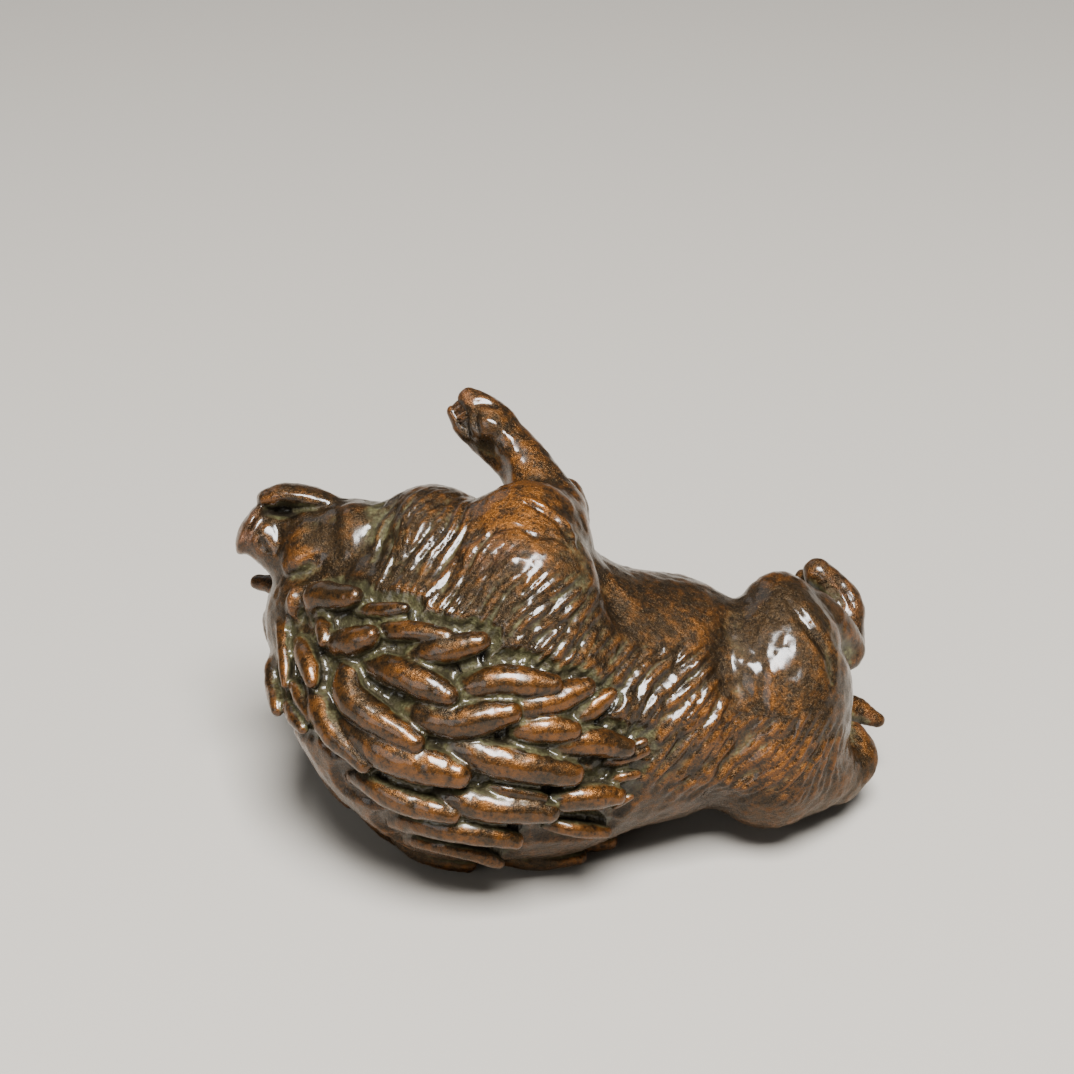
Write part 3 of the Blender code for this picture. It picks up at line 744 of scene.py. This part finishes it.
def smoothed(values, edges, rounds):
    count = np.bincount(edges.ravel(), minlength=len(values))
    values = values[:, None]
    for _ in range(rounds):
        values = 0.5 * values + 0.5 * neighbourMean(values, edges, count)
    return values[:, 0]


def keepValues(item, name, values):
    attribute = item.data.attributes.new(name, "FLOAT", "POINT")
    attribute.data.foreach_set("value", np.asarray(values, np.float32))


# The boar

# the hand-worked surface, in parts: how high and how broad each of its waves is
handwork = {
    "waves": [(0.1, 2.1), (0.055, 0.95), (0.035, 0.55)],
    "ripple": (0.06, 0.72),     # on the bare places, drawn out up the flank
    "strand": (0.3, 0.75),      # along the tufts
    "strandSteps": (-1.2, -0.6, 0, 0.6, 1.2),
    "sunk": 0.3,                # the ground between tufts lies this much lower
}

body = trunk + head + forelegs + hindLegs
body += foldsOn(lambda points: outside(body, points))
locks = locksOn(lambda points: outside(body, points))


def bodyGap(points):
    return outside(body, points)


def wholeGap(points):
    # the body is cut lower where a lock is near
    lockGap = outside(locks, points)
    height = points @ (0, math.cos(lean), math.sin(lean))
    ground = np.clip((mane["groundReach"] - lockGap) / mane["groundFade"], 0, 1)
    ground = ground * (points[:, 0] > mane["brow"])
    ground = ground * np.clip((height - mane["underside"]) / 3, 0, 1)
    return blended(bodyGap(points) + mane["ground"] * ground * ground * (3 - 2 * ground), lockGap, 0.3)


report(f"{len(locks)} locks laid")
boar = roughClay(body + locks)
report("clay joined")
for grain, rounds, evenness in ((carving["roughGrain"], 6, 0.6), (carving["fineGrain"], 4, 0.5)):
    applyModifier(boar, "REMESH", mode="VOXEL", voxel_size=grain, adaptivity=0)
    settle(boar, wholeGap, rounds, evenness)
    report(f"settled at {len(boar.data.vertices)} points")
keepOuterShell(boar)
report("outer shell kept")

points, normal = pointsOf(boar), normalsOf(boar)
lockShare = np.clip(0.5 + (bodyGap(points) + mane["ground"] - outside(locks, points)) / 0.5, 0, 1)
cover = furCover(points) * (1 - lockShare) * np.clip(2.6 * np.abs(normal[:, 2]) - 0.25, 0, 1)
raised = chaseFur(bodyGap, points, normal)
strandHeight, strandSize = handwork["strand"]
streaks = np.zeros(len(points))
hairFlow = furFlow(points, normal)
for stride in handwork["strandSteps"]:
    streaks += softNoise(points + stride * hairFlow, strandSize, 21) / len(handwork["strandSteps"])
rough = sum(high * softNoise(points, wide, 11 + number)
            for number, (high, wide) in enumerate(handwork["waves"]))
rippleHeight, rippleSize = handwork["ripple"]
rough += rippleHeight * (1 - cover) * (1 - lockShare) * softNoise(points * (1, 0.45, 0.8), rippleSize, 14)
lift = cover * (raised - handwork["sunk"] + strandHeight * streaks) + rough
movePoints(boar, points + normal * lift[:, None])
keepValues(boar, "lock", lockShare)
keepValues(boar, "fur", cover)
keepValues(boar, "crest", cover * raised)
for name, regions in patinaAndPaintedShade.items():
    keepValues(boar, name, spread(points, regions))
report("fur chased")

makeActive(boar)
applyModifier(boar, "DECIMATE", ratio=carving["triangles"] / (2 * len(boar.data.polygons)))
report(f"{len(boar.data.polygons)} faces kept")

leant = Matrix(((1, 0, 0), (0, math.sin(lean), -math.cos(lean)), (0, math.cos(lean), math.sin(lean))))
boar.data.transform(leant.to_4x4())
low, high = pointsOf(boar).min(axis=0), pointsOf(boar).max(axis=0)
middle = (low + high) / 2
setDown = Matrix.Translation((-middle[0], -middle[1], -low[2] - carving["wornDepth"]))
boar.data.transform(setDown)
boar.data.transform(Matrix.Scale(part, 4))
toFrame = Matrix.Scale(part, 4) @ setDown @ leant.to_4x4()

makeActive(boar)
bpy.ops.object.mode_set(mode="EDIT")
bpy.ops.mesh.select_all(action="SELECT")
bpy.ops.mesh.bisect(plane_co=(0, 0, 0), plane_no=(0, 0, 1), clear_inner=True, use_fill=True,
                    threshold=1e-7)
bpy.ops.mesh.select_all(action="SELECT")
bpy.ops.mesh.quads_convert_to_tris()
bpy.ops.mesh.normals_make_consistent(inside=False)
bpy.ops.object.mode_set(mode="OBJECT")
bpy.ops.object.shade_smooth()

edges = edgesOf(boar)
keepValues(boar, "shelter", smoothed(shelterOf(boar, 5 * part), edges, 2))
report("shelter measured")
points, normal = pointsOf(boar), normalsOf(boar)
count = np.bincount(edges.ravel(), minlength=len(points))
relaxed = points
for _ in range(14):
    relaxed = 0.5 * relaxed + 0.5 * neighbourMean(relaxed, edges, count)
proud = np.sum((points - relaxed) * normal, axis=1) / part
keepValues(boar, "proud", smoothed(proud, edges, 1))


# Materials

patina = {
    "bronze": (0.026, 0.0145, 0.0055, 1),
    # near black, for the specks and for the painted shade
    "dark": (0.005, 0.0035, 0.002, 1),
    "orange": (0.130, 0.045, 0.006, 1),
    "copper": (0.14, 0.066, 0.040, 1),
    "olive": (0.021, 0.020, 0.008, 1),
    "verdigris": (0.096, 0.094, 0.042, 1),
    # sizes of the noises, in features per metre
    "blotch": 140,
    "mottle": 750,
    "pits": 1700,
    "speck": 2700,
    "grain": 6000,
    # how proud, how sheltered or how far inside a patch of painted shade a place is where a finish, or
    # the painted shade, starts and where it is full
    "proudPlaces": (-0.02, 0.16),
    "wornCrests": (0.16, 0.42),
    "betweenTufts": (0.02, 0.3),
    "creases": (-0.3, 0),
    "sheltered": (0.05, 0.75),
    "shadedGaps": (0.4, 0.78),
    # the next two are painted shade: in the most sheltered gaps, and in the mouth and between the toes
    "paintedShadePlaces": (0.35, 0.75),
    # the same along each finish's own sum of noises
    "orangeMottles": (0.58, 1.0),
    "blackSpecks": (0.27, 0.4),
    "greenPlaces": (0.85, 1.4),
    "paleFlecks": (0.54, 0.84),
    # how strong a finish or a painted shade is at most
    "speckStrength": 0.75,
    "greenStrength": 0.85,
    # the next two darken with painted shade
    "gapShadeStrength": 0.8,
    "paintedShadeStrength": 0.9,
    # gloss
    "roughness": (0.24, 0.4),
    "dustRoughness": 0.25,
    "metal": (0.6, 0.15),       # bare, and under the green
    "waxHeight": (0.003, 0.02),     # dull below the one height in metres, bright above the other
    "wax": (0.08, 0.7),
    "pitDepth": 0.00025,
    "rubbedPits": 0.4,          # what is left of the pits on the locks
}


def addNode(tree, kind, label, **settings):
    node = tree.nodes.new(kind)
    node.label = label
    for name, value in settings.items():
        if name in node.inputs:
            node.inputs[name].default_value = value
        else:
            setattr(node, name, value)
    return node


def feed(tree, value, socket):
    if isinstance(value, (int, float, tuple)):
        socket.default_value = value
    else:
        tree.links.new(value, socket)


def noise(tree, label, scale, detail, roughness, place):
    node = addNode(tree, "ShaderNodeTexNoise", label, Scale=scale, Detail=detail, Roughness=roughness)
    tree.links.new(place, node.inputs["Vector"])
    return node.outputs["Fac"]


def ramp(tree, label, source, span, result=(0, 1)):
    node = addNode(tree, "ShaderNodeMapRange", label, interpolation_type="SMOOTHSTEP")
    node.inputs["From Min"].default_value, node.inputs["From Max"].default_value = span
    node.inputs["To Min"].default_value, node.inputs["To Max"].default_value = result
    tree.links.new(source, node.inputs["Value"])
    return node.outputs["Result"]


def maths(tree, label, operation, first, second):
    node = addNode(tree, "ShaderNodeMath", label, operation=operation)
    feed(tree, first, node.inputs[0])
    feed(tree, second, node.inputs[1])
    return node.outputs[0]


def weighted(tree, label, *terms):
    total = 0.0
    for source, weight in terms:
        term = maths(tree, label + " share", "MULTIPLY", source, weight)
        total = maths(tree, label, "ADD", total, term)
    return total


def mixed(tree, label, share, first, second):
    node = addNode(tree, "ShaderNodeMix", label, data_type="RGBA")
    for name, value in (("Factor", share), ("A", first), ("B", second)):
        feed(tree, value, [socket for socket in node.inputs if socket.name == name and socket.enabled][0])
    return [socket for socket in node.outputs if socket.enabled][0]


def vertexValue(tree, name):
    return addNode(tree, "ShaderNodeAttribute", name, attribute_name=name).outputs["Fac"]


def oldBronze():
    material = bpy.data.materials.new("brown_bronze_patina")
    material.use_nodes = True
    tree = material.node_tree
    shader = tree.nodes["Principled BSDF"]
    place = tree.nodes.new("ShaderNodeTexCoord").outputs["Object"]
    shelter, crest = vertexValue(tree, "shelter"), vertexValue(tree, "crest")
    proud, lock, furry = vertexValue(tree, "proud"), vertexValue(tree, "lock"), vertexValue(tree, "fur")

    blotch = noise(tree, "blotches", patina["blotch"], 3, 0.55, place)
    mottle = noise(tree, "mottles", patina["mottle"], 5, 0.68, place)
    speck = noise(tree, "black speckle", patina["speck"], 3, 0.65, place)
    grain = noise(tree, "fine grain", patina["grain"], 2, 0.6, place)
    pits = noise(tree, "casting pits", patina["pits"], 4, 0.72, place)
    raised = ramp(tree, "proud places", proud, patina["proudPlaces"])

    # brown metal with orange mottles and black speckle
    warm = weighted(tree, "warmth", (mottle, 0.75), (blotch, 0.5), (raised, 0.12),
                    (vertexValue(tree, "warmth"), 0.9))
    base = mixed(tree, "brown and orange", ramp(tree, "orange mottles", warm, patina["orangeMottles"]),
                 patina["bronze"], patina["orange"])
    specks = weighted(tree, "speck sum", (speck, 0.8), (grain, 0.3), (mottle, -0.45), (raised, -0.06))
    specks = ramp(tree, "specks", specks, patina["blackSpecks"], (0, patina["speckStrength"]))
    base = mixed(tree, "speckled", specks, base, patina["dark"])

    # copper where it is rubbed
    worn = weighted(tree, "wear", (ramp(tree, "worn crests", proud, patina["wornCrests"]), 0.6),
                    (vertexValue(tree, "copper"), 0.8))
    worn = maths(tree, "worn share", "MULTIPLY", worn,
                 ramp(tree, "broken wear", mottle, (0.4, 0.6), (0.1, 0.8)))
    base = mixed(tree, "worn", worn, base, patina["copper"])

    # grey-green where wax and dust stay: under the locks, in folds and between the tufts
    valley = maths(tree, "fur valleys", "MULTIPLY", furry,
                   ramp(tree, "between tufts", crest, patina["betweenTufts"], (1, 0)))
    hollow = weighted(tree, "hollows", (ramp(tree, "sheltered", shelter, patina["sheltered"]), 1.1),
                      (valley, 0.27), (ramp(tree, "creases", proud, patina["creases"], (1, 0)), 0.22),
                      (raised, -0.22), (mottle, 0.9), (blotch, 0.5), (vertexValue(tree, "grime"), 1.3))
    green = ramp(tree, "green", hollow, patina["greenPlaces"])
    flecks = weighted(tree, "fleck sum", (speck, 0.6), (mottle, 0.6))
    tone = mixed(tree, "green tone", ramp(tree, "pale flecks", flecks, patina["paleFlecks"]),
                 patina["olive"], patina["verdigris"])
    share = maths(tree, "green strength", "MULTIPLY", green, patina["greenStrength"])
    base = mixed(tree, "greened", share, base, tone)

    # painted shade: nearly black in the most sheltered gaps between locks and folds, in the mouth and
    # between the toes
    deep = ramp(tree, "deep", shelter, patina["shadedGaps"], (0, patina["gapShadeStrength"]))
    base = mixed(tree, "painted gap shade", deep, base, patina["dark"])
    paintedShade = ramp(tree, "paintedShade", vertexValue(tree, "paintedShade"), patina["paintedShadePlaces"],
                (0, patina["paintedShadeStrength"]))
    base = mixed(tree, "paintedShadeMix", paintedShade, base, patina["dark"])
    tree.links.new(base, shader.inputs["Base Color"])

    gloss = ramp(tree, "speck gloss", grain, (0.3, 0.7), patina["roughness"])
    rough = weighted(tree, "rough", (gloss, 1), (green, patina["dustRoughness"]))
    tree.links.new(rough, shader.inputs["Roughness"])
    tree.links.new(ramp(tree, "metal", green, (0.0, 0.8), patina["metal"]), shader.inputs["Metallic"])
    shader.inputs["Specular IOR Level"].default_value = 0.38
    shader.inputs["Specular Tint"].default_value = (0.72, 0.58, 0.44, 1)

    # the wax is handled bright on top and stays dull beneath
    split = tree.nodes.new("ShaderNodeSeparateXYZ")
    tree.links.new(place, split.inputs["Vector"])
    wax = ramp(tree, "wax", split.outputs["Z"], patina["waxHeight"], patina["wax"])
    tree.links.new(wax, shader.inputs["Coat Weight"])
    shader.inputs["Coat Roughness"].default_value = 0.17
    shader.inputs["Coat IOR"].default_value = 1.45

    bump = addNode(tree, "ShaderNodeBump", "fine pitting", Strength=1.0, Distance=patina["pitDepth"])
    height = weighted(tree, "pits", (pits, 1), (grain, 0.3), (mottle, 0.2))
    rubbed = ramp(tree, "rubbed", lock, (0.3, 0.8), (1, patina["rubbedPits"]))
    tree.links.new(maths(tree, "rubbed locks", "MULTIPLY", height, rubbed), bump.inputs["Height"])
    tree.links.new(bump.outputs["Normal"], shader.inputs["Normal"])
    return material


boar.data.materials.clear()
boar.data.materials.append(oldBronze())
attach(boar, "root")
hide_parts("boar")


# Floor, light and camera

studio = {
    "floorColour": (0.30, 0.28, 0.25, 1),
    "lens": 72.1,
    "ambient": 0.12,
    # name: where it stands about the boar, size and power
    "lights": {
        "key_light": ((0.06, -0.33, 0.74), 0.33, 32),
        "fill_light": ((-0.6, -0.7, 0.35), 0.5, 2.5),
        "back_light": ((-0.5, 0.7, 0.6), 0.5, 0.7),
    },
}


def makeStudio():
    clearSelection()
    bpy.ops.mesh.primitive_plane_add(size=6, location=(0, 0, 0))
    floor = bpy.context.object
    floor.name = "floor"
    material = bpy.data.materials.new("pale_floor")
    material.use_nodes = True
    shader = material.node_tree.nodes["Principled BSDF"]
    shader.inputs["Base Color"].default_value = studio["floorColour"]
    shader.inputs["Roughness"].default_value = 0.85
    floor.data.materials.append(material)
    for name, (spot, size, power) in studio["lights"].items():
        bpy.ops.object.light_add(type="AREA", location=spot)
        light = bpy.context.object
        light.name = name
        light.data.size = size
        light.data.energy = power
        light.rotation_euler = (Vector((0, 0, 0.02)) - Vector(spot)).to_track_quat("-Z", "Y").to_euler()
    world = bpy.data.worlds.new("studio_air")
    world.use_nodes = True
    sky = world.node_tree.nodes["Background"]
    sky.inputs["Color"].default_value = (1, 0.97, 0.93, 1)
    sky.inputs["Strength"].default_value = studio["ambient"]
    bpy.context.scene.world = world


def makeCamera():
    eye = toFrame @ Vector(carving["eye"])
    bpy.ops.object.camera_add(location=eye)
    camera = bpy.context.object
    camera.name = "camera"
    camera.data.lens = studio["lens"]
    camera.data.sensor_width = 36
    camera.data.clip_start = 0.01
    camera.data.clip_end = 20
    camera.rotation_euler = leant.to_euler()
    bpy.context.scene.camera = camera


makeStudio()
makeCamera()
report("studio ready")
